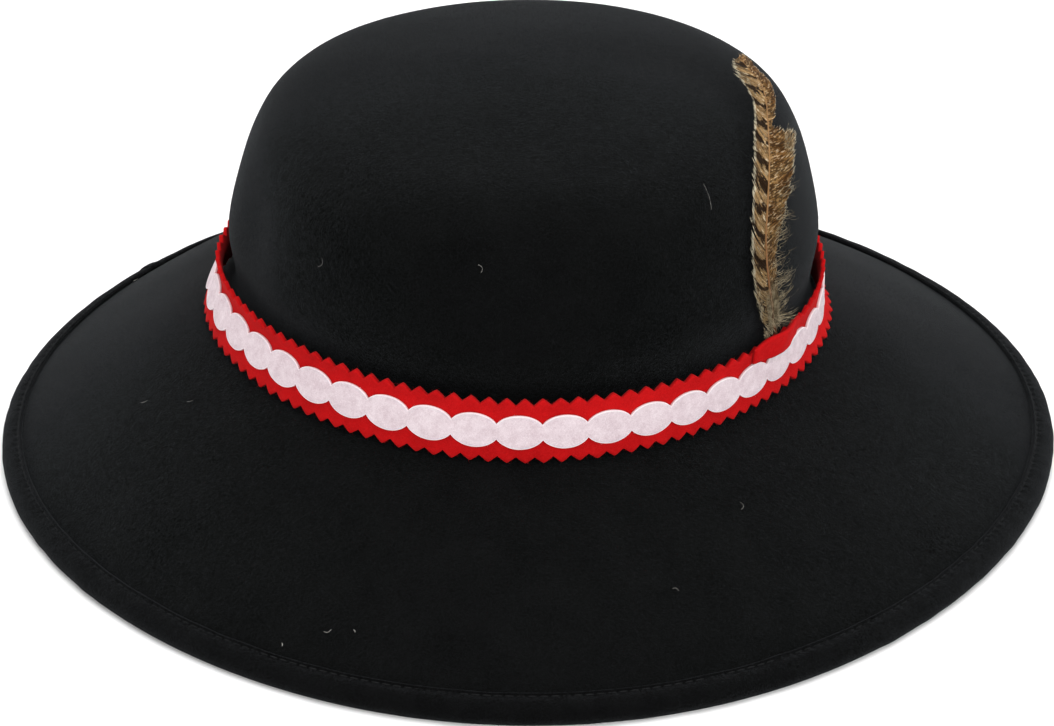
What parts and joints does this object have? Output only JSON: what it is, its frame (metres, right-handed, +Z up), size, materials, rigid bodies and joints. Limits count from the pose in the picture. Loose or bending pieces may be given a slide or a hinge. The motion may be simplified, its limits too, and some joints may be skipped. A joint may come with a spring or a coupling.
{
  "type": "feathered felt hat",
  "caption": "Black felt hat with a round crown and a wide drooping brim, a pinked red band with a strip of linked white ovals, and a barred feather.",
  "frame": {"origin": "middle of the brim's outline, on the surface that the brim's edge rests on", "axes": "+Z up through the crown, -Y towards the front where the feather is at the right, +X towards the wearer's left"},
  "size_m": [0.3202, 0.3266, 0.1258],
  "materials": {
    "black_felt": "short-napped black felt with a blue-grey sheen",
    "binding_felt": "softer black felt, folded and stitched",
    "red_felt": "bright red craft felt with pinked edges",
    "white_felt": "pinkish-white craft felt",
    "barred_feather": "tan feather barred with dark brown, with a reddish shaft and grey down"
  },
  "bodies": {
    "root": {"felt_body": "black_felt", "edge_binding": "binding_felt", "red_band": "red_felt", "white_scallop_strip": "white_felt", "feather_patch": "red_felt", "feather": "barred_feather"}
  },
  "joints": []
}
